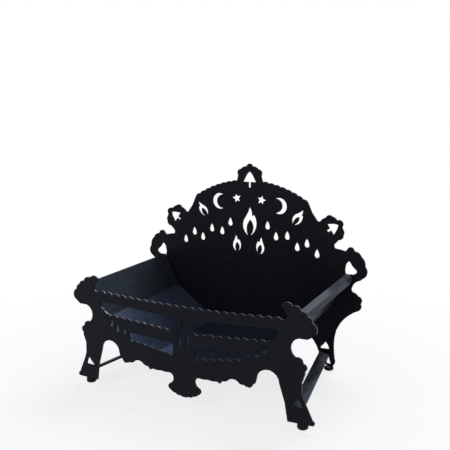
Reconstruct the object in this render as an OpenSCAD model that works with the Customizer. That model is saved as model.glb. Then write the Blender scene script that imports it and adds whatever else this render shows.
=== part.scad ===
// Log holder: two cut steel plates joined by a trough, top rails and stretchers.
// Millimetres. X to the right seen from the front, Y to the back, Z up, ground at Z 0.
// The origin is on the ground, in the middle of the footprint.

/* [Overall] */
// width of the front plate, from horn to horn
width = 600; // [540:10:660]
// height of the back plate's crown above the ground
height = 500; // [450:10:550]
// depth from the crown of the bowed front plate to the back face of the back plate
depth = 341; // [300:1:380]
// thickness of the front and back plates
plate_t = 4; // [3:0.5:6]
// thickness of the trough's and rails' sheets
sheet_t = 3; // [2:0.5:4]
// how far the front plate bows out in its middle
bow = 7; // [3:0.5:12]

/* [Trough] */
// how much further out each side stands at the front plate than at the back plate
side_splay = 4.5; // [0:0.5:7]
// lean of the sides from upright, in degrees
side_lean = 25; // [20:1:27]
// width of a top rail's upper face
rail_top_w = 14; // [10:0.5:18]
// drop of a top rail's outer lip
rail_lip = 16; // [10:0.5:22]

/* [Stretchers] */
// width of a stretcher bar
bar_w = 26; // [20:0.5:30]
// thickness of a stretcher bar
bar_t = 4; // [3:0.5:6]
// tilt of a stretcher, outward and down, in degrees
bar_tilt = 19.5; // [10:0.5:30]

/* [Feet] */
// largest radius of a bun foot; its rim stands flush with the plate's outer face
pad_r = 12; // [10:0.5:13]

/* [Cut-outs] */
// lean of the group of small cut-outs in the back plate, in degrees
motif_lean = 1.1; // [0:0.1:2]

/* [Hidden] */
// Outlines and places are drawn for a holder 600 wide and 500 high, and scaled from there.
wide = width / 600;
high = height / 500;
// trough: its floor, and the folds where its wings meet the leaning sides
floor_z = 85 * high;
floor_half = 107.5 * wide;
fold_z = 164 * high;
fold_half = 218 * wide;
side_top_z = 247 * high;
// inner edges of the stretchers: height, and distance from the middle at each plate
bar_z = 43.5 * high;
bar_front = 245 * wide;
bar_back = 190.5 * wide;
// feet: undersides of the legs on the drawing, and distances from the middle
front_sole = 15;
back_sole = 8;
front_foot_x = 268 * wide;
back_foot_x = 217 * wide;
// radius of the bowed plate, from its rise over the width
bow_r = (width * width / 4 + bow * bow) / (2 * bow);
front_y = -depth / 2;
back_y = depth / 2 - plate_t;
tall = height * 1.04;
eps = 0.01;

// Outline helpers. A corner is [x, z, rise]: rise is how far the edge to the next corner
// bulges to the left of the way travelled, so a bump is positive and a hollow negative.
function rise_r(c, h) = (c * c / 4 + h * h) / (2 * abs(h));
function arc_mid(p, q, h) = (p + q) / 2 + [p[1] - q[1], q[0] - p[0]] / norm(q - p)
                            * (h - sign(h) * rise_r(norm(q - p), h));
function arc_pts(p, q, h) =
    abs(h) < 0.05 ? [p] :
    let (m = arc_mid(p, q, h),
         r = rise_r(norm(q - p), h),
         sweep = 4 * atan(2 * abs(h) / norm(q - p)),
         n = max(2, ceil(sweep / 20)),
         a = atan2(p[1] - m[1], p[0] - m[0]))
    [for (i = [0 : n - 1]) m + r * [cos(a - sign(h) * sweep * i / n), sin(a - sign(h) * sweep * i / n)]];
function xz(c) = [c[0], c[1]];
function curve(c) = [for (i = [0 : len(c) - 2]) each arc_pts(xz(c[i]), xz(c[i + 1]), c[i][2])];
function ring(c) = curve(concat(c, [c[0]]));
// An outline of the drawing at the holder's size
function sized(p) = [for (q = p) [q[0] * wide, q[1] * high]];
function mirrored(p) = [for (i = [len(p) - 1 : -1 : 0]) if (p[i][0] > eps) [-p[i][0], p[i][1]]];
// A row of n scallops along a line that starts at x0, z0
function bumps(n, x0, z0, slope, h) =
    [for (i = [0 : n - 1]) [x0 + i * scallop[0], z0 + slope * i * scallop[0], h]];
// Rise of half a bump, for an outline that starts or ends on its top
function half_rise(c, h) = let (r = rise_r(c, h)) r - sqrt(r * r - (c * c / 4 + h * h) / 4);

// Front plate, right half, from the top middle round to the bottom middle.
// The scallops' pitch and rise, and the foot of the top row, which climbs a little to the horn
scallop = [19.6, 4.4];
top_row = [0, 223, 6.4];
rail_row = [for (i = [0 : 10]) let (x = scallop[0] * (i + 0.5))
            [x, top_row[1] + top_row[2] * pow(x / 215, 2), scallop[1]]];
horn = [[225.4, 229.6, 0], [231, 229, -6.4], [233, 248, -0.8], [226.6, 257, 1.8], [229, 264, 4.6],
        [249, 260, 5.6], [266.7, 250.3, 3.8], [281, 242, 2.8], [290, 230, 3.5], [299.5, 213, 1.6],
        [292.5, 204, 1], [280, 195, 0], [262, 195, -13], [255.5, 154.6, 0], [261.5, 155, 3.4],
        [271.6, 143, 6.2], [275.6, 127.5, 1.4], [273, 114, 0.8], [269.2, 103.5, 0], [269.8, 78, -0.8],
        [281.6, 49, 0], [292.2, 25.4, 3.6], [294, front_sole, 0]];
leg_in = [[239.5, front_sole, -2.8], [221.6, 94, -24.6], [171.6, 94, 0], [170.3, 89, 1.8],
          [163.2, 80.5, 3.9], [151, 73.4, 1], [143.5, 76.4, 1.2], [133, 77.6, -7], [105, 78, 0.9],
          [94.5, 75.4, -0.8], [89.5, 70, 1.6], [83, 71.4, 0], [80, 72, 1.3], [59, 72, 1], [36.5, 71.5, -2.9],
          [27, 60, -2.4], [36, 47, 5.4], [35, 32.4, 1.5], [22.5, 26.4, 1.8], [10, 23.2, 0.8], [0, 19.9, 0]];
front_half = curve(concat([[0, top_row[1] + scallop[1], half_rise(scallop[0], scallop[1])]],
                          rail_row, horn, leg_in));

// Openings of the front plate, right half
upper_open = concat([[26, 198.6, 0], [22, 194, -0.8], [28, 170.5, 0]],
                    bumps(8, 35.5, 166.6, 0.068, 4.2),
                    [[192.5, 177.4, 1], [201, 181.4, -1], [215.5, 193, -6.5], [212, 207.6, 0],
                     [180, 207, -0.6]]);
lower_open = concat([[28, 142, 0], [25.5, 138, -0.5], [27.5, 112.6, 0]],
                    bumps(5, 35.5, 110.6, 0.158, 4.2),
                    [[133.5, 126.4, -0.8], [142.5, 134, -2.4], [139, 147, 0]]);

// Pointed drop, measured from the middle of its round end
module leaf_drop(w, h)
    polygon(high * ring([[0, h - w / 2, w * 0.08], [w * 0.49, w * 0.1, w * 0.6], [-w * 0.49, w * 0.1, w * 0.08]]));

// Flame with an inner tongue that stays joined to the plate by a neck. It is drawn 73 high,
// and w and h are its width and height as shares of that drawing.
flame_edge = [[0, 73, 2], [7, 48, 0], [12, 53, 10.4], [4, 0, 0.6], [-8.6, 0, 9.6], [-13, 45, -1.4]];
tongue_edge = [[0.5, 39, 2.6], [9, 17, 1.4], [1.5, -1, 0], [-5.5, -1, 1.2], [-9, 17, 2.4]];
module flame(w, h)
    difference() {
        polygon([for (p = ring(flame_edge)) high * [p[0] * w, p[1] * h]]);
        polygon([for (p = ring(tongue_edge)) high * [p[0] * w, p[1] * h]]);
    }

module star(r)
    polygon([for (i = [0 : 9]) high * (i % 2 == 0 ? r : r * 0.48) * [sin(i * 36), cos(i * 36)]]);

module moon(r)
    difference() {
        circle(r = r * high, $fn = 64);
        translate([-r * high * 0.48, 0]) circle(r = r * high * 0.87, $fn = 64);
    }

// Fir tree standing on its trunk, apex up, base line at zero
module tree(size, trunk)
    polygon(high * concat(size * [[-17.6, 0], [-10.4, 13.8], [-8.6, 17.6], [0, 27], [8.6, 17.6],
                                  [10.4, 13.8], [17.6, 0], [3, 0]],
                          [[3 * size, -trunk], [-3 * size, -trunk]], size * [[-3, 0]]));

// Cut-out in each leg, measured from the leg hole's bottom
leg_leaf = [[0, 19.4, 1.6], [8.6, 3, 0.8], [8, 0.6, 0], [-12.4, 0, 0.6], [-13.2, 3.6, -0.8]];

module both() {
    children();
    mirror([1, 0]) children();
}
// Places a cut-out at a point of the drawing
module at(x, z) translate([x * wide, z * high]) children();

module front_outline()
    difference() {
        polygon(sized(concat(front_half, mirrored(front_half))));
        both() {
            polygon(sized(ring(upper_open)));
            polygon(sized(ring(lower_open)));
            at(154.5, 146) leaf_drop(8.5, 16);
            at(174, 148.5) leaf_drop(11, 19);
            at(190, 158.5) leaf_drop(8.5, 17);
            at(261.4, 48) polygon(high * ring(leg_leaf));
        }
        at(0, 131) flame(0.76, 0.96);
    }

// Back plate, right half, from the top middle round to the bottom middle
// The arch's radius and the height of its centre
arch = [278.4, 179];
arch_row = [for (i = [0 : 8]) let (a = 7.33 + 3.33 * i)
            [arch[0] * sin(a), arch[1] + arch[0] * cos(a), i < 8 ? 2.6 : -2.4]];
crown = [[0, 500, 1.8], [8, 493.6, 2], [24.3, 486.2, 4.6], [32.4, 472, -0.8], [33.4, 463, 0]];
shoulder = [[178.7, 368.3, -1.9], [187.4, 369, 1.7], [200, 378, 4.4], [215.5, 382, 1.4], [228.5, 373, 8],
            [241.5, 358, 0], [243, 352, 2.4], [244.6, 338, 4], [233, 325.7, 0.4], [225.4, 317.4, -3.2],
            [225.4, 304.6, 0.5], [250, 300.4, -0.9], [257, 309.4, 4], [271.4, 304.6, 0], [273, 301.8, 3.2],
            [288.8, 290.6, 3], [299.4, 269, 0], [299.6, 266, 7.2], [294.5, 237.4, 0], [288.5, 232.2, -4.3],
            [267.8, 212, -1.8], [270, 202, 1.7], [284, 193, 5.8], [290, 174.6, 3.8], [286.3, 157.6, -1],
            [263.5, 144, -1.3], [240.7, 119.6, -2.7], [226.5, 80, -1.1], [226.5, 39, 0],
            [228.3, 25, 3], [224.5, back_sole, 0]];
back_in = [[203, back_sole, 1.2], [190, 26, 0.8], [188, 38, -1.9], [170.5, 70.6, 0], [162, 74, 0],
           [0, 74, 0]];
back_half = curve(concat(crown, arch_row, shoulder, back_in));
// Leaf cut-out in the side lobes
lobe_leaf = [[260.8, 277, -1.6], [278.6, 256, 1.4], [277, 249, 0.8], [269, 245, 0], [259, 244.6, 0],
             [252, 242.6, 2], [252.4, 268, 1.2]];
// Slot between the foot's outer strip and its inner part
foot_slot = [[211.5, 38, 0], [212.8, 32, 0.3], [215.4, 22, -0.5], [220, 11.6, 0], [208.6, 11.6, 2]];
drops = [[52, 347], [75.4, 321.8], [105.4, 326.4], [132.2, 301], [157.4, 312.6], [184, 289.6]];
// Point about which the group of small cut-outs leans
lean_point = [0, 530 * high];

module back_outline()
    difference() {
        polygon(sized(concat(back_half, mirrored(back_half))));
        at(0, 454) tree(1, 14);
        at(0, 319) flame(1, 1);
        translate(lean_point) rotate(-motif_lean) translate(-lean_point) both() {
            at(82.4, 399.6) moon(20.3);
            at(34.2, 410.6) rotate(-13.5) star(12.6);
            for (d = drops)
                at(d[0], d[1] - 2.8) leaf_drop(13.2, 22.5);
            at(29.6, 273.4) rotate(-9) mirror([1, 0]) flame(0.62, 0.6);
            at(122.4, 357.6) rotate(-32) flame(0.6, 0.6);
        }
        both() {
            at(212.2, 349.8) rotate(-57) tree(0.86, 9);
            polygon(sized(ring(lobe_leaf)));
            at(205.2, 48.6) polygon(high * ring(leg_leaf));
            polygon(sized(ring(foot_slot)));
        }
    }

// Room between the two plates, seen from above
module between_plates()
    intersection() {
        translate([0, front_y + bow_r]) circle(r = bow_r - plate_t, $fn = 720);
        translate([-width / 2, front_y]) square([width, back_y - front_y]);
    }

module fitted()
    intersection() {
        children();
        linear_extrude(tall) between_plates();
    }

module front_plate()
    color([0.11, 0.11, 0.13])
    intersection() {
        translate([0, front_y + bow + 2 * plate_t, 0]) rotate([90, 0, 0])
            linear_extrude(bow + 3 * plate_t) front_outline();
        translate([0, front_y + bow_r, 0]) difference() {
            cylinder(r = bow_r, h = tall, $fn = 720);
            translate([0, 0, -1]) cylinder(r = bow_r - plate_t, h = tall + 2, $fn = 720);
        }
    }

module back_plate()
    color([0.1, 0.1, 0.11])
    translate([0, back_y + plate_t, 0]) rotate([90, 0, 0]) linear_extrude(plate_t) back_outline();

// Runs a cross section on the right side from front to back, turned with the sides' splay.
// The section's zero is the fold between wing and side. It overruns both plates before it is cut.
overrun = 10;
splay_a = atan(side_splay / (back_y - front_y));
module along_side()
    translate([fold_half, 0, 0]) rotate([0, 0, splay_a]) translate([0, depth / 2 + overrun, 0]) rotate([90, 0, 0])
        linear_extrude(depth + 2 * overrun) translate([0, fold_z]) children();

// Flat bottom of the trough; its side edges follow the wings, and its halves overlap in the middle
lap = 5;
module floor_plate()
    color([0.13, 0.14, 0.17])
    translate([0, 0, floor_z - sheet_t]) linear_extrude(sheet_t) intersection() {
        between_plates();
        both() translate([fold_half, 0]) rotate(splay_a)
            translate([-fold_half - lap, -depth]) square([floor_half + lap, 2 * depth]);
    }

// Cross section of a wing, from the fold down to the floor's edge
side_foot = sheet_t / cos(side_lean);
wing_in = [floor_half - fold_half, floor_z - fold_z];
wing_slope = wing_in[1] / wing_in[0];
wing_drop = sheet_t * norm(wing_in) / abs(wing_in[0]);
module wing_section()
    polygon([[0, 0], wing_in, wing_in - [0, wing_drop], [side_foot, side_foot * wing_slope - wing_drop],
             [side_foot, 0]]);

// Cross section of a side, from the fold up to the rail's underside
side_rise = side_top_z - fold_z;
run = tan(side_lean);
cap = [side_rise * run, side_rise];
under = cap - sheet_t * [sin(side_lean), cos(side_lean)];
module panel_section()
    polygon([[0, 0], under, under + sheet_t * [cos(side_lean), -sin(side_lean)], [side_foot, 0]]);

// Folded cap: the upper face is square to the side, the lip hangs upright
ridge = cap + rail_top_w * [cos(side_lean), -sin(side_lean)];
bend_in = [ridge[0] - sheet_t, under[1] - (ridge[0] - sheet_t - under[0]) * run];
module rail_section()
    polygon([cap, ridge, ridge - [0, rail_lip], ridge - [sheet_t, rail_lip], bend_in, under]);

module floor_wing()
    color([0.13, 0.14, 0.17]) fitted() along_side() wing_section();

module side_panel()
    color([0.13, 0.14, 0.17]) fitted() along_side() panel_section();

module top_rail()
    color([0.14, 0.15, 0.17]) fitted() along_side() rail_section();

bar_yaw = atan((bar_front - bar_back) / (back_y - front_y));
module stretcher()
    color([0.12, 0.12, 0.14]) fitted()
    translate([(bar_front + bar_back) / 2, 0, bar_z]) rotate([0, 0, bar_yaw]) rotate([0, bar_tilt, 0])
        translate([0, -depth, -bar_t]) cube([bar_w, 2 * depth, bar_t]);

// Bun foot: flat sole, rounded rim, sides drawn in to a neck under the leg
module bun_foot(h)
    color([0.09, 0.09, 0.1])
    rotate_extrude($fn = 48)
        polygon(concat([[0, 0]], curve([[pad_r * 0.6, 0, -pad_r * 0.12], [pad_r, pad_r * 0.4, -pad_r * 0.03],
                                        [pad_r * 0.85, h, 0], [0, h, 0]]), [[0, h]]));

// Where the front plate's outer face stands at a distance x from the middle
function face_y(x) = front_y + bow_r - sqrt(bow_r * bow_r - x * x);
module front_foot()
    translate([front_foot_x, face_y(front_foot_x) + pad_r, 0]) bun_foot(front_sole * high);
module back_foot()
    translate([back_foot_x, depth / 2 - pad_r, 0]) bun_foot(back_sole * high);

module left() mirror([1, 0, 0]) children();

front_plate();
back_plate();
floor_plate();
left() floor_wing();  // left_floor_wing
floor_wing();  // right_floor_wing
left() side_panel();  // left_side_panel
side_panel();  // right_side_panel
left() top_rail();  // left_top_rail
top_rail();  // right_top_rail
left() stretcher();  // left_stretcher
stretcher();  // right_stretcher
left() front_foot();  // front_left_foot
front_foot();  // front_right_foot
left() back_foot();  // back_left_foot
back_foot();  // back_right_foot
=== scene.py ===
# %% [markdown]
# # A black steel log holder
# This lesson dresses a log holder for the hearth: two cut steel plates, joined by a trough of
# sheets, two capping rails and two low bars, all under black paint. The shapes come finished from
# the frame, in metres, at their real size. What is left to do here is what an eye needs: a camera,
# soft light, paint that behaves like paint, and the small weld seams that hold such an object
# together.

import math

import bpy
from mathutils import Matrix, Vector


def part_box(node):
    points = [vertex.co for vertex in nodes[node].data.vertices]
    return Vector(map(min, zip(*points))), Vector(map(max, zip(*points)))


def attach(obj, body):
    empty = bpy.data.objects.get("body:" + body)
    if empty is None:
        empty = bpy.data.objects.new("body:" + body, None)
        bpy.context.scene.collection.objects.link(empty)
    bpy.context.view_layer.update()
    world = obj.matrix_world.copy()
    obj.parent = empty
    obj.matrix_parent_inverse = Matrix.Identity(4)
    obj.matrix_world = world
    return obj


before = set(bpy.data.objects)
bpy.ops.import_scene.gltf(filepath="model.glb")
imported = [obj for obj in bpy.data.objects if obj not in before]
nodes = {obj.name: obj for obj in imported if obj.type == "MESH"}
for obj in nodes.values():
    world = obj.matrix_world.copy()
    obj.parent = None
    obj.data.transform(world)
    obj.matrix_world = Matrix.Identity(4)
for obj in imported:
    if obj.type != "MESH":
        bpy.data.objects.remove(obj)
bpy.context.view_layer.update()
MM = 0.001
print("pieces from the frame:", ", ".join(sorted(nodes)))

# %% [markdown]
# ## The camera
# The photograph looks down a little on the holder, from its right front. A long lens keeps the
# back plate from shrinking too much. Position, heading, tilt and roll are written as plain
# numbers, and the camera's three axes are worked out from them. That is easier to correct
# against the photograph than a target point.

# %% Place the camera
CAMERA_PLACE = Vector((0.722, -1.3565, 0.665))
HEADING = math.radians(27.49)
TILT_DOWN = math.radians(10.739)
ROLL = math.radians(-0.695)
SENSOR_MM = 36.0
FOCAL_MM = 54.30
FARTHEST_SEEN = 50


def camera_axes(heading, tilt, roll):
    """Right, up and backward axes of a camera that looks along heading, tilted down and rolled."""
    level = Vector((-math.sin(heading), math.cos(heading), 0))
    forward = math.cos(tilt) * level - math.sin(tilt) * Vector((0, 0, 1))
    right = Vector((math.cos(heading), math.sin(heading), 0))
    up = right.cross(forward)
    return (math.cos(roll) * right + math.sin(roll) * up,
            math.cos(roll) * up - math.sin(roll) * right,
            -forward)


camera_data = bpy.data.cameras.new("camera")
camera_data.sensor_fit = "HORIZONTAL"
camera_data.sensor_width = SENSOR_MM
camera_data.lens = FOCAL_MM
camera_data.clip_end = FARTHEST_SEEN
camera = bpy.data.objects.new("camera", camera_data)
bpy.context.scene.collection.objects.link(camera)
axes = camera_axes(HEADING, TILT_DOWN, ROLL)
camera.matrix_world = Matrix.Translation(CAMERA_PLACE) @ Matrix(axes).transposed().to_4x4()
bpy.context.scene.camera = camera
print("camera at", tuple(CAMERA_PLACE), "with a lens of", FOCAL_MM, "mm")

# %% [markdown]
# ## Writing node maths as Python
# A paint material needs a few sums: a mask times a strength, one minus a mask. Wiring Math nodes
# by hand hides those sums in boxes. Here one small class wraps a socket, so that a sum on wrapped
# sockets adds its own Math node. Colours and vectors keep to Mix and Vector Math nodes, because
# a Math node would turn them grey.

# %% A socket that can be added and multiplied


class Value:
    """A node socket that takes part in Python sums."""

    def __init__(self, tree, socket):
        self.tree = tree
        self.socket = socket

    def sum_with(self, operation, first, second=None):
        """Adds a Math node and gives back its result."""
        node = self.tree.nodes.new("ShaderNodeMath")
        node.operation = operation
        for slot, item in enumerate((first, second)):
            if isinstance(item, Value):
                self.tree.links.new(item.socket, node.inputs[slot])
            elif item is not None:
                node.inputs[slot].default_value = item
        return Value(self.tree, node.outputs[0])

    def __add__(self, other):
        return self.sum_with("ADD", self, other)

    def __radd__(self, other):
        return self.sum_with("ADD", other, self)

    def __sub__(self, other):
        return self.sum_with("SUBTRACT", self, other)

    def __rsub__(self, other):
        return self.sum_with("SUBTRACT", other, self)

    def __mul__(self, other):
        return self.sum_with("MULTIPLY", self, other)

    def __rmul__(self, other):
        return self.sum_with("MULTIPLY", other, self)

    def __abs__(self):
        return self.sum_with("ABSOLUTE", self)

    def larger(self, other):
        return self.sum_with("MAXIMUM", self, other)


print("socket sums ready")

# %% [markdown]
# ## One way to add a node
# Every other node comes from a single method. It takes the node's type, its settings, and the
# values or links of its sockets. The settings go first, because some of them change the sockets.
# It gives back one output, or all of them by name for a node that hands out several facts.

# %% A tree with one node-making method
ALL = "all outputs"


class Tree:
    """A node tree and the one method that adds nodes to it."""

    def __init__(self, tree):
        self.tree = tree

    def node(self, kind, settings=None, inputs=None, out=0):
        """Adds a node and gives back one of its outputs, or ALL of them by name."""
        node = self.tree.nodes.new(kind)
        for key, item in (settings or {}).items():
            setattr(node, key, item)
        for key, item in (inputs or {}).items():
            if isinstance(item, Value):
                self.tree.links.new(item.socket, node.inputs[key])
            else:
                node.inputs[key].default_value = item
        if out == ALL:
            return {socket.name: Value(self.tree, socket) for socket in node.outputs}
        return Value(self.tree, node.outputs[out]) if node.outputs else None


print("node maker ready")

# %% A material with the mixtures that paints need
TRUE_NORMAL = "true normal"
SIDEWAYS, DEPTHWISE, UPWARD = 0, 1, 2


class Paint(Tree):
    """A material, with the few mixtures that paints need."""

    def __init__(self, name):
        self.material = bpy.data.materials.new(name)
        self.material.use_nodes = True
        super().__init__(self.material.node_tree)
        self.tree.nodes.clear()

    def noise(self, place, per_metre, detail):
        """Noise whose grain is given as how many lumps fit in a metre."""
        return self.node("ShaderNodeTexNoise",
                         inputs={"Vector": place, "Scale": per_metre, "Detail": detail})

    def spread(self, value, low, high, to_low=0.0, to_high=1.0):
        """Stretches the range low..high of a value to to_low..to_high, and clamps it."""
        return self.node("ShaderNodeMapRange", {"clamp": True},
                         {"Value": value, "From Min": low, "From Max": high,
                          "To Min": to_low, "To Max": to_high})

    def fade(self, value, start, end, most=1.0):
        """The most up to start, then less and less, and nothing from end on."""
        return self.spread(value, start, end, most, 0.0)

    def part(self, vector, axis):
        """One component of a vector. TRUE_NORMAL stands for the way that the flat face looks."""
        if vector == TRUE_NORMAL:
            vector = self.node("ShaderNodeNewGeometry", out=3)
        return self.node("ShaderNodeSeparateXYZ", inputs={0: vector}, out=axis)

    def blend(self, factor, colour_a, colour_b):
        """Mixes two colours by a factor."""
        return self.node("ShaderNodeMix", {"data_type": "RGBA"},
                         {0: factor, 6: colour_a, 7: colour_b}, out=2)

    def finish(self, surface):
        """Ends the tree."""
        self.node("ShaderNodeOutputMaterial", inputs={"Surface": surface})
        return self.material


print("paint mixtures ready")

# %% [markdown]
# ## Black paint on steel
# Hearth steel is sprayed with heat-proof black. Close up it isn't one flat black: the film has a
# fine orange-peel skin, it pools a little in places, and it thins over sharp corners, where rubbing
# makes it shine first. So the recipe has four layers: a near-black colour with slow clouds,
# a roughness that follows the clouds and the brush of a rag along the piece, a skin in the Bump
# node, and an edge mask. The mask compares the true surface with a rounded one from the Bevel
# node. Where they part, there is a corner. This works on sharp CAD meshes, whose points can't
# carry a mask.
#
# The cut edges of the two plates catch a bright line of light in the photograph, on every
# scallop. The film is thicker and glossier there, so a clear coat is laid where the surface turns
# away from the plate's face, less on the legs, which get dusty. A few places get painted light in
# a lighter tone: the upper faces of the rails and the stretchers, which also get the same clear
# coat, the front of the sides, and a patch on the floor.

# %% Values of the paint
EDGE_ROUND = 0.6 * MM
EDGE_SAMPLES = 6
PEEL_DEPTH = 0.12 * MM
COAT_ROUGHNESS = 0.17
BARE_STEEL = (0.05, 0.052, 0.058)
CLOUD_LIFT = 1.6
CLOUD_SHARE = 0.6
GRAIN_HEIGHT = 0.6
# each noise: its lumps in a metre, and how many finer sizes are laid over them
CLOUDS, RUBS, SCUFFS = (9.0, 4.0), (70.0, 5.0), (60.0, 6.0)
GRAIN, PEEL = (420.0, 2.0), (900.0, 1.0)
# the part of a noise that is stretched to the whole way from 0 to 1
SOFT, STREAKED, PATCHY, FINE = (0.3, 0.7), (0.38, 0.66), (0.36, 0.62), (0.35, 0.65)
# how much each layer adds to the roughness, and wear takes away
CLOUD_ROUGH, RUB_ROUGH, GRAIN_ROUGH, WEAR_SMOOTH = 0.05, 0.07, 0.03, 0.08
# where a corner's wear starts and is full: one minus the cosine between true and rounded surface
CORNER = (0.02, 0.28)
# how squarely a face looks forward or back, from a cut edge to the plate's own face
PLATE_FACING = (0.35, 0.8)
# the heights between which the cut edges' coat grows, and its share on the dusty legs below
LEG_HEIGHTS, LEG_COAT = (50 * MM, 120 * MM), 0.15
print("the paint's edges are rounded by", EDGE_ROUND / MM, "mm")

# %% Paint recipe


def rgba(colour, tone=1.0):
    """A colour at a tone, written as a colour socket takes it."""
    return [tone * part for part in colour] + [1.0]


def black_paint(name, tone, tint, gloss, shine, edge_coat=0.0,
                painted_light=None, lit_tone=0.057, lit_coat=0.0,
                rag=(1.0, 1.0, 1.0), wear=0.5, skin=0.14):
    """Black paint. Tone is how light it is, gloss its roughness, and shine how much it mirrors."""
    paint = Paint(name)
    place = paint.node("ShaderNodeTexCoord", out=3)
    along = paint.node("ShaderNodeMapping", inputs={"Vector": place, "Scale": rag})
    drift = paint.spread(paint.noise(place, *CLOUDS), *SOFT)
    rubbed = paint.spread(paint.noise(along, *RUBS), *STREAKED)
    scuffs = paint.spread(paint.noise(place, *SCUFFS), *PATCHY)
    grain = paint.noise(place, *GRAIN)
    peel = paint.noise(place, *PEEL)

    rounded = paint.node("ShaderNodeBevel", {"samples": EDGE_SAMPLES}, {"Radius": EDGE_ROUND})
    flat = paint.node("ShaderNodeNewGeometry", out=1)
    same = paint.node("ShaderNodeVectorMath", {"operation": "DOT_PRODUCT"},
                      {0: rounded, 1: flat}, out=1)
    worn = paint.spread(1.0 - same, *CORNER) * scuffs * wear

    clouded = paint.blend(CLOUD_SHARE * drift + (1.0 - CLOUD_SHARE) * rubbed,
                          rgba(tint, tone), rgba(tint, tone * CLOUD_LIFT))
    sockets = {
        "Base Color": paint.blend(worn, clouded, rgba(BARE_STEEL)),
        "Roughness": (gloss + CLOUD_ROUGH * drift + RUB_ROUGH * rubbed
                      + GRAIN_ROUGH * paint.spread(grain, *FINE) - WEAR_SMOOTH * worn),
        "Normal": paint.node("ShaderNodeBump",
                             inputs={"Strength": skin, "Distance": PEEL_DEPTH,
                                     "Height": peel + GRAIN_HEIGHT * grain, "Normal": rounded}),
        "Specular IOR Level": shine,
    }
    if edge_coat:
        cut_face = 1.0 - paint.spread(abs(paint.part(TRUE_NORMAL, DEPTHWISE)), *PLATE_FACING)
        clean = paint.spread(paint.part(place, UPWARD), *LEG_HEIGHTS, LEG_COAT, 1.0)
        sockets["Coat Weight"] = cut_face * clean * edge_coat
        sockets["Coat Roughness"] = COAT_ROUGHNESS
    # painted light: a lighter tone where the mask says, and on some pieces a clear coat over it
    if painted_light:
        painted_lit = painted_light(paint, place, rubbed)
        sockets["Base Color"] = paint.blend(painted_lit, sockets["Base Color"],
                                            rgba(tint, lit_tone))
        if lit_coat:
            sockets["Coat Weight"] = painted_lit * lit_coat
            sockets["Coat Roughness"] = COAT_ROUGHNESS
    return paint.finish(paint.node("ShaderNodeBsdfPrincipled", inputs=sockets))


print("paint recipe ready")

# %% [markdown]
# ## Sizes that paint and welds need
# A few sizes of the holder are needed from here on: the rub marks follow the slanting stretchers,
# and the weld seams follow the corners between the pieces. They repeat the numbers that the shapes
# were drawn with, because the frame gives only finished meshes and their boxes.

# %% Sizes of the holder
WIDTH = 600 * MM
DEPTH = 341 * MM
PLATE = 4 * MM
BOW = 7 * MM
BOW_RADIUS = (WIDTH ** 2 / 4 + BOW ** 2) / (2 * BOW)
SPLAY = 4.5 * MM
BACK_INNER = DEPTH / 2 - PLATE
BAR_FRONT = 245 * MM
BAR_BACK = 190.5 * MM
BAR_TOP = 43.5 * MM
BAR_WIDTH = 26 * MM
BAR_THICK = 4 * MM
BAR_TILT = math.radians(19.5)
BAR_MIDDLE = (BAR_FRONT + BAR_BACK) / 2
BAR_SLANT = (BAR_FRONT - BAR_BACK) / (DEPTH - PLATE)
print("the front plate's bow has a radius of", round(BOW_RADIUS, 2), "metres")

# %% [markdown]
# ## Where light is painted into the paint
# Four places are painted lighter, as painted light. Each function below draws that place as a mask
# from the flat face's direction and the position, broken up by the rag marks: the upper faces of
# the rails and of the stretchers, the front of the sides, and a light patch at the left front of
# the floor.

# %% Where each painted light starts and ends
# how squarely a face looks up where its painted light starts and is full
RAIL_FACING, BAR_FACING = (0.3, 0.8), (0.5, 0.8)
# where a painted light changes, across the holder from left to right or along it from front to back
RAIL_LIGHT_FADE = (0.0, 130 * MM)
FRONT_LIGHT_FADE = (-150 * MM, 40 * MM)
LIGHT_PATCH_ACROSS, LIGHT_PATCH_ALONG = (-80 * MM, -30 * MM), (-75 * MM, 60 * MM)
BAR_LIGHT_START = (-160 * MM, -125 * MM)
BAR_LIGHT_EDGE = (BAR_MIDDLE + 8 * MM, BAR_MIDDLE + 24 * MM)
# the strength of the painted light on the sides at the front, and of the stretchers' painted light
# beside the front leg
FRONT_LIGHT_MOST, BAR_LIGHT_LEAST = 0.6, 0.1
# the share of a painted light that streaks don't break up
RAIL_LIGHT_EVEN, LIGHT_PATCH_EVEN, FRONT_LIGHT_EVEN = 0.75, 0.65, 0.8
# the stretchers' painted light on the whole upper face, what the outer edge adds, and what streaks
# add to each
BAR_LIGHT_FACE, BAR_LIGHT_RIM, BAR_LIGHT_STREAKS = 0.15, 0.35, 0.25
# the stretchers' painted light grows between these distances from the middle
print("the boots' rub grows between", *(round(x / MM, 1) for x in BAR_LIGHT_EDGE), "mm from the middle")

# %% Places with painted light


def streaked(rubbed, even):
    """A mask of which the even share is unbroken and the rest comes in streaks."""
    return even + (1.0 - even) * rubbed


def painted_rail_light(paint, place, rubbed):
    """Painted light on the upper face of a rail, less and less towards the back, in the back
    plate's shade.
    """
    upper_face = paint.spread(paint.part(TRUE_NORMAL, UPWARD), *RAIL_FACING)
    to_the_back = paint.fade(paint.part(place, DEPTHWISE), *RAIL_LIGHT_FADE)
    return upper_face * streaked(rubbed, RAIL_LIGHT_EVEN) * to_the_back


def painted_bar_light(paint, place, rubbed):
    """Painted light on a stretcher's upper face, in streaks, most of all along its outer edge."""
    across = abs(paint.part(place, SIDEWAYS)) + BAR_SLANT * paint.part(place, DEPTHWISE)
    outer = paint.spread(across, *BAR_LIGHT_EDGE)
    upper_face = paint.spread(paint.part(TRUE_NORMAL, UPWARD), *BAR_FACING)
    past_the_leg = paint.spread(paint.part(place, DEPTHWISE), *BAR_LIGHT_START, BAR_LIGHT_LEAST)
    streaks = BAR_LIGHT_STREAKS * rubbed
    return upper_face * (BAR_LIGHT_FACE + streaks + outer * (BAR_LIGHT_RIM + streaks)) * past_the_leg


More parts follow.
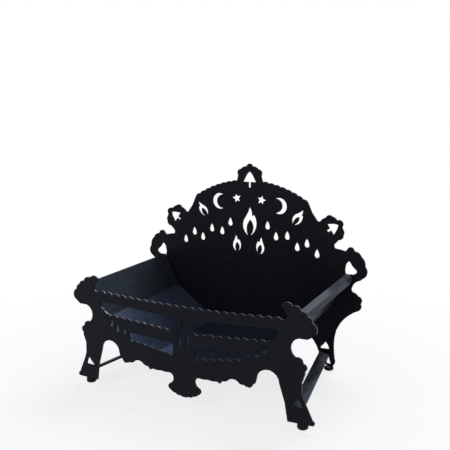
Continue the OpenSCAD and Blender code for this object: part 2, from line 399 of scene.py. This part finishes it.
def painted_light_patch(paint, place, rubbed):
    """A painted light patch at the left front corner of the floor."""
    to_the_right = paint.fade(paint.part(place, SIDEWAYS), *LIGHT_PATCH_ACROSS)
    to_the_back = paint.fade(paint.part(place, DEPTHWISE), *LIGHT_PATCH_ALONG)
    return to_the_right * streaked(rubbed, LIGHT_PATCH_EVEN) * to_the_back


def painted_front_light(paint, place, rubbed):
    """Painted light on the sides, most of all at the front, and less and less towards the back."""
    to_the_back = paint.fade(paint.part(place, DEPTHWISE), *FRONT_LIGHT_FADE, FRONT_LIGHT_MOST)
    return to_the_back * streaked(rubbed, FRONT_LIGHT_EVEN)


print("polished places ready")

# %% [markdown]
# ## A paint for each piece
# All pieces had the same tin of paint, but not the same handling. The plates were laid flat and
# came out satin. The sheets inside are smooth. They, the sides and the rails have a lighter, blue
# tone than the plates: painted skylight. The rails are the glossiest, and the low stretchers are
# dull with dust, with painted light in streaks on top.

# %% Mix and give out the paints
# tints: what a tone is multiplied by in red, green and blue
BLUE_BLACK = (1.0, 1.0, 1.7)
COLD_BLACK = (0.88, 1.06, 1.95)
DUSTY = (1.35, 1.5, 1.65)
# the next two tints, with the higher tones of the sheets, sides and rails, are painted skylight
PAINTED_SKYLIGHT = (0.85, 1.2, 2.0)
PAINTED_PALE_SKYLIGHT = (1.0, 1.22, 1.6)
# a rag's marks are drawn out along the depth of the holder
ALONG_DEPTH = (1.0, 0.12, 1.0)

plate_paint = black_paint("front_plate_paint", tone=0.0042, tint=COLD_BLACK, gloss=0.40,
                          shine=0.095, edge_coat=0.5)
back_paint = black_paint("back_plate_paint", tone=0.0050, tint=BLUE_BLACK, gloss=0.44,
                         shine=0.07, edge_coat=0.25)
# the sides: painted skylight in their tone, and painted light at their front
panel_paint = black_paint("side_panel_paint", tone=0.0260, tint=PAINTED_PALE_SKYLIGHT, gloss=0.20, shine=0.08,
                          painted_light=painted_front_light)
# the floor wings: painted skylight in their tone
wing_paint = black_paint("floor_wing_paint", tone=0.0350, tint=PAINTED_SKYLIGHT, gloss=0.18, shine=0.03)
# the floor plate: a painted light patch at its left front, in a much lighter tone
floor_paint = black_paint("floor_plate_paint", tone=0.0170, tint=PAINTED_SKYLIGHT, gloss=0.20, shine=0.06,
                          painted_light=painted_light_patch, lit_tone=0.11)
# the rails: painted skylight in their tone, and painted light on their upper face
rail_paint = black_paint("top_rail_paint", tone=0.0300, tint=PAINTED_PALE_SKYLIGHT, gloss=0.17, shine=0.012,
                         painted_light=painted_rail_light, lit_coat=0.42, rag=ALONG_DEPTH, skin=0.2)
# the stretchers: painted light on their upper face, in streaks
bar_paint = black_paint("stretcher_paint", tone=0.0045, tint=DUSTY, gloss=0.24, shine=0.0,
                        painted_light=painted_bar_light, lit_tone=0.17, lit_coat=0.3,
                        rag=ALONG_DEPTH, skin=0.2)
foot_paint = black_paint("foot_paint", tone=0.0040, tint=BLUE_BLACK, gloss=0.36, shine=0.12)

FINISH = {
    "front_plate": plate_paint, "back_plate": back_paint, "floor_plate": floor_paint,
    "left_floor_wing": wing_paint, "right_floor_wing": wing_paint,
    "left_side_panel": panel_paint, "right_side_panel": panel_paint,
    "left_top_rail": rail_paint, "right_top_rail": rail_paint,
    "left_stretcher": bar_paint, "right_stretcher": bar_paint,
    "front_left_foot": foot_paint, "front_right_foot": foot_paint,
    "back_left_foot": foot_paint, "back_right_foot": foot_paint,
}
for name, piece in nodes.items():
    piece.data.materials.clear()
    piece.data.materials.append(FINISH[name])
print("painted", len(nodes), "pieces with", len(set(FINISH.values())), "paints")

# %% [markdown]
# ## Weld seams: where they run
# The plates, sheets and bars of such a holder are welded, with short stitches on the sides that
# nobody sees: under the trough, outside its sides, under the bars and behind the legs. Each
# stitch is a short line in the corner between two pieces. The front plate is bowed, so its
# stitches follow an arc.

# %% Faces and corners that are welded


def front_inner(x):
    """How far back the front plate's inner face lies at a distance x from the middle."""
    return -DEPTH / 2 + BOW_RADIUS - math.sqrt((BOW_RADIUS - PLATE) ** 2 - x * x)


def under_bar(inner_x):
    """Lower face of a stretcher in cross section, from its inner to its outer corner."""
    down = Vector((-math.sin(BAR_TILT), -math.cos(BAR_TILT)))
    outward = Vector((math.cos(BAR_TILT), -math.sin(BAR_TILT)))
    inner = Vector((inner_x, BAR_TOP)) + BAR_THICK * down
    return inner, inner + BAR_WIDTH * outward


# lines and corners in cross section: distance from the middle, and height
WING_UNDER = (Vector((107.5, 81.3)) * MM, Vector((221.3, 162.7)) * MM)
PANEL_OUTER = (Vector((221.3, 164.0)) * MM, Vector((258.2, 243.0)) * MM)
FLOOR_UNDER = (Vector((0.0, 82.0)) * MM, Vector((105.0, 82.0)) * MM)
PANEL_FOLD = Vector((221.3, 163.3)) * MM
FLOOR_FOLD = Vector((107.5, 81.8)) * MM
# each row: the face's line, where stitches start and end along it, whether it follows the splay
SECTION_STITCHES = [
    (FLOOR_UNDER, ((0.14, 0.38), (0.64, 0.88)), False),
    (WING_UNDER, ((0.10, 0.28), (0.66, 0.84)), True),
    (PANEL_OUTER, ((0.12, 0.40), (0.60, 0.86)), True),
]
print("corner lines:", len(SECTION_STITCHES), "faces at each plate, on both sides")

# %% Lay the stitches out as lines
STITCH_PARTS = 4
WHOLE_LINE, BAR_SHARE = (0.0, 1.0), (0.14, 0.86)
FOOT_STITCH_HALF = 7 * MM
# middles of the stitches along each fold, and half their length, in millimetres
FOLD_STITCHES = (-120, -40, 40, 120)
FOLD_STITCH_HALF = 15
stitches = []


def plate_stitch(line, share, at_front, splayed, side):
    """A stitch in the corner between a plate's inner face and a face given by its cross section."""
    shift = (SPLAY / 2 if at_front else -SPLAY / 2) if splayed else 0.0
    points = []
    for step in range(STITCH_PARTS + 1):
        spot = line[0].lerp(line[1], share[0] + (share[1] - share[0]) * step / STITCH_PARTS)
        x = spot.x + shift
        points.append(Vector((side * x, front_inner(x) if at_front else BACK_INNER, spot.y)))
    stitches.append(points)


for side in (-1, 1):
    for at_front in (True, False):
        for line, shares, splayed in SECTION_STITCHES:
            for share in shares:
                plate_stitch(line, share, at_front, splayed, side)
        bar_line = under_bar(BAR_FRONT if at_front else BAR_BACK)
        plate_stitch(bar_line, BAR_SHARE, at_front, False, side)
        foot = ("front_" if at_front else "back_") + ("right_foot" if side > 0 else "left_foot")
        low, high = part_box(foot)
        middle = abs(low[0] + high[0]) / 2
        foot_line = [Vector((middle + reach, high[2]))
                     for reach in (-FOOT_STITCH_HALF, FOOT_STITCH_HALF)]
        plate_stitch(foot_line, WHOLE_LINE, at_front, False, side)
    for fold in (PANEL_FOLD, FLOOR_FOLD):
        for middle in FOLD_STITCHES:
            ends = [(middle - FOLD_STITCH_HALF) * MM, (middle + FOLD_STITCH_HALF) * MM]
            stitches.append([Vector((side * (fold.x - y * SPLAY / DEPTH), y, fold.y))
                             for y in ends])
print("stitches:", len(stitches))

# %% [markdown]
# ## Weld seams: the bead
# A hand-laid bead is a row of overlapping drops, each a little different. Geometry Nodes do that
# well: the line becomes a curve, the curve gets a point at every step, and each point carries a
# flattened ball turned along the line, with a small random change of size. The random numbers
# have a fixed seed. The tree ends in Realize Instances and Set Material, and the result is kept
# as a plain mesh, because an export drops instances.

# %% Geometry Nodes tree for a bead
SEAM_INPUTS = (("Seams", "NodeSocketGeometry"), ("Drop radius", "NodeSocketFloat"),
               ("Step", "NodeSocketFloat"), ("Flatness", "NodeSocketFloat"),
               ("Unevenness", "NodeSocketFloat"), ("Seed", "NodeSocketInt"),
               ("Paint", "NodeSocketMaterial"))


def seam_tree():
    """Turns lines into welded beads."""
    group = bpy.data.node_groups.new("weld_seam", "GeometryNodeTree")
    for name, kind in SEAM_INPUTS:
        group.interface.new_socket(name, in_out="INPUT", socket_type=kind)
    group.interface.new_socket("Beads", in_out="OUTPUT", socket_type="NodeSocketGeometry")
    tree = Tree(group)
    given = tree.node("NodeGroupInput", out=ALL)
    line = tree.node("GeometryNodeMeshToCurve", inputs={"Mesh": given["Seams"]})
    spots = tree.node("GeometryNodeResampleCurve", {"mode": "LENGTH"},
                      {"Curve": line, "Length": given["Step"]})
    turned = tree.node("FunctionNodeAlignRotationToVector", {"axis": "Z"},
                       {"Vector": tree.node("GeometryNodeInputTangent")})
    size = tree.node("FunctionNodeRandomValue", {"data_type": "FLOAT"},
                     {2: 1.0 - given["Unevenness"], 3: 1.0 + given["Unevenness"],
                      "Seed": given["Seed"]}, out=1)
    shape = tree.node("ShaderNodeCombineXYZ",
                      inputs={0: size, 1: size, 2: size * given["Flatness"]})
    drop = tree.node("GeometryNodeMeshIcoSphere",
                     inputs={"Radius": given["Drop radius"], "Subdivisions": 2})
    drops = tree.node("GeometryNodeInstanceOnPoints",
                      inputs={"Points": spots, "Instance": drop,
                              "Rotation": turned, "Scale": shape})
    solid = tree.node("GeometryNodeRealizeInstances", inputs={"Geometry": drops})
    smooth = tree.node("GeometryNodeSetShadeSmooth", inputs={"Geometry": solid})
    painted = tree.node("GeometryNodeSetMaterial",
                        inputs={"Geometry": smooth, "Material": given["Paint"]})
    tree.node("NodeGroupOutput", inputs={"Beads": painted})
    return group


seam_group = seam_tree()
print("bead tree:", len(seam_group.nodes), "nodes")

# %% Lay the beads
seam_paint = black_paint("weld_paint", tone=0.0050, tint=BLUE_BLACK, gloss=0.34, shine=0.12,
                         wear=0.8)


def lay_beads(name, lines, settings):
    """Makes one plain mesh of beads from a list of lines."""
    mesh = bpy.data.meshes.new(name)
    points, edges = [], []
    for line in lines:
        edges += [(len(points) + i, len(points) + i + 1) for i in range(len(line) - 1)]
        points += line
    mesh.from_pydata(points, edges, [])
    piece = bpy.data.objects.new(name, mesh)
    bpy.context.scene.collection.objects.link(piece)
    beads = piece.modifiers.new("beads", "NODES")
    beads.node_group = seam_group
    slots = {item.name: item.identifier for item in seam_group.interface.items_tree
             if item.in_out == "INPUT"}
    for key, item in settings.items():
        beads[slots[key]] = item
    evaluated = piece.evaluated_get(bpy.context.evaluated_depsgraph_get())
    solid = bpy.data.meshes.new_from_object(evaluated)
    piece.modifiers.clear()
    piece.data = solid
    solid.name = name
    solid.materials.clear()
    solid.materials.append(settings["Paint"])
    solid.polygons.foreach_set("material_index", [0] * len(solid.polygons))
    return piece


seams = lay_beads("weld_seams", stitches,
                  {"Drop radius": 2.0 * MM, "Step": 1.5 * MM, "Flatness": 0.62,
                   "Unevenness": 0.09, "Seed": 7, "Paint": seam_paint})
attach(seams, "root")
print("weld beads:", len(seams.data.polygons), "faces, painted with", seams.data.materials[0].name)

# %% [markdown]
# ## Floor and world
# The photograph is a cut-out on white. The floor is a wide diffuse sheet that keeps a soft shadow
# under the feet. For the camera and for mirrors it is mixed with plain white, more and more with
# the distance from the holder, so that no horizon shows. The Light Path node keeps that white
# off dull paint. The world is white for the camera and for mirrors too, and dim for the rest.

# %% What is seen as white
WHITE = (1.0, 1.0, 1.0)


def looked_at(tree):
    """One for rays that come from the camera, from a mirror or through glass, else zero."""
    path = tree.node("ShaderNodeLightPath", out=ALL)
    return path["Is Camera Ray"].larger(path["Is Glossy Ray"]).larger(path["Is Transmission Ray"])


print("white for the camera and for mirrors ready")

# %% Floor
PALE_FLOOR = (0.84, 0.85, 0.86)
FLOOR_REACH = 12.0
# the share of the dull floor that is seen near the holder, and the distances over which it fades
SHADOW_SHARE = 0.2
SHADOW_NEAR = 0.40
SHADOW_FAR = 0.95


def make_floor():
    """A wide pale square under the feet, with the shadow kept near them."""
    mesh = bpy.data.meshes.new("floor_stage")
    corners = [(x * FLOOR_REACH, y * FLOOR_REACH, 0)
               for x, y in ((-1, -1), (1, -1), (1, 1), (-1, 1))]
    mesh.from_pydata(corners, [], [(0, 1, 2, 3)])
    floor = bpy.data.objects.new("floor_stage", mesh)
    bpy.context.scene.collection.objects.link(floor)
    paint = Paint("floor_stage_white")
    place = paint.node("ShaderNodeTexCoord", out=3)
    away = paint.node("ShaderNodeVectorMath", {"operation": "LENGTH"}, {0: place}, out=1)
    dull = paint.node("ShaderNodeBsdfDiffuse", inputs={"Color": rgba(PALE_FLOOR)})
    white = paint.node("ShaderNodeEmission", inputs={"Color": rgba(WHITE), "Strength": 1.0})
    shadow = paint.spread(away, SHADOW_NEAR, SHADOW_FAR, SHADOW_SHARE, 0.0)
    white_share = looked_at(paint) * (1.0 - shadow)
    mixed = paint.node("ShaderNodeMixShader", inputs={0: white_share, 1: dull, 2: white})
    floor.data.materials.append(paint.finish(mixed))


make_floor()
print("floor ready, with the shadow kept up to", SHADOW_NEAR, "metres from the middle")

# %% World
WORLD_LIGHT = 0.3


def make_world(dull_light):
    """White where the camera or a mirror sees it, dim where it lights dull surfaces."""
    world = bpy.data.worlds.new("studio")
    world.use_nodes = True
    world.node_tree.nodes.clear()
    tree = Tree(world.node_tree)
    strength = dull_light + looked_at(tree) * (1.0 - dull_light)
    sky = tree.node("ShaderNodeBackground", inputs={"Color": rgba(WHITE), "Strength": strength})
    tree.node("ShaderNodeOutputWorld", inputs={"Surface": sky})
    bpy.context.scene.world = world


make_world(WORLD_LIGHT)
print("world ready, with a strength of", WORLD_LIGHT, "on dull paint")

# %% [markdown]
# ## Lamps
# Two soft boxes. The stronger hangs high behind the holder and gives the bluish shine on the sides,
# the rails and the scallops. The tall back plate shades the rear of the trough from it, so the
# shine dies away towards the back. The weaker one stands in front and lifts the plate.

# %% Soft boxes


def soft_box(name, place, target, width, height, watts, colour):
    """A rectangular lamp that faces target."""
    lamp = bpy.data.lights.new(name, "AREA")
    lamp.shape = "RECTANGLE"
    lamp.size = width
    lamp.size_y = height
    lamp.energy = watts
    lamp.color = colour
    box = bpy.data.objects.new(name, lamp)
    bpy.context.scene.collection.objects.link(box)
    box.location = place
    box.rotation_euler = (Vector(target) - Vector(place)).to_track_quat("-Z", "Y").to_euler()


soft_box("back_box", place=(0.2, 1.6, 2.3), target=(0, -0.1, 0.15), width=1.6, height=1.0,
         watts=60, colour=(0.82, 0.9, 1.0))
soft_box("front_box", place=(-0.9, -2.4, 1.6), target=(0, 0, 0.2), width=1.6, height=1.2,
         watts=22, colour=(1.0, 0.99, 0.97))
print("lamps ready")

# %% [markdown]
# ## Plain colours
# The Standard view shows a colour about as it was written.

# %% Last lines
bpy.context.scene.view_settings.view_transform = "Standard"
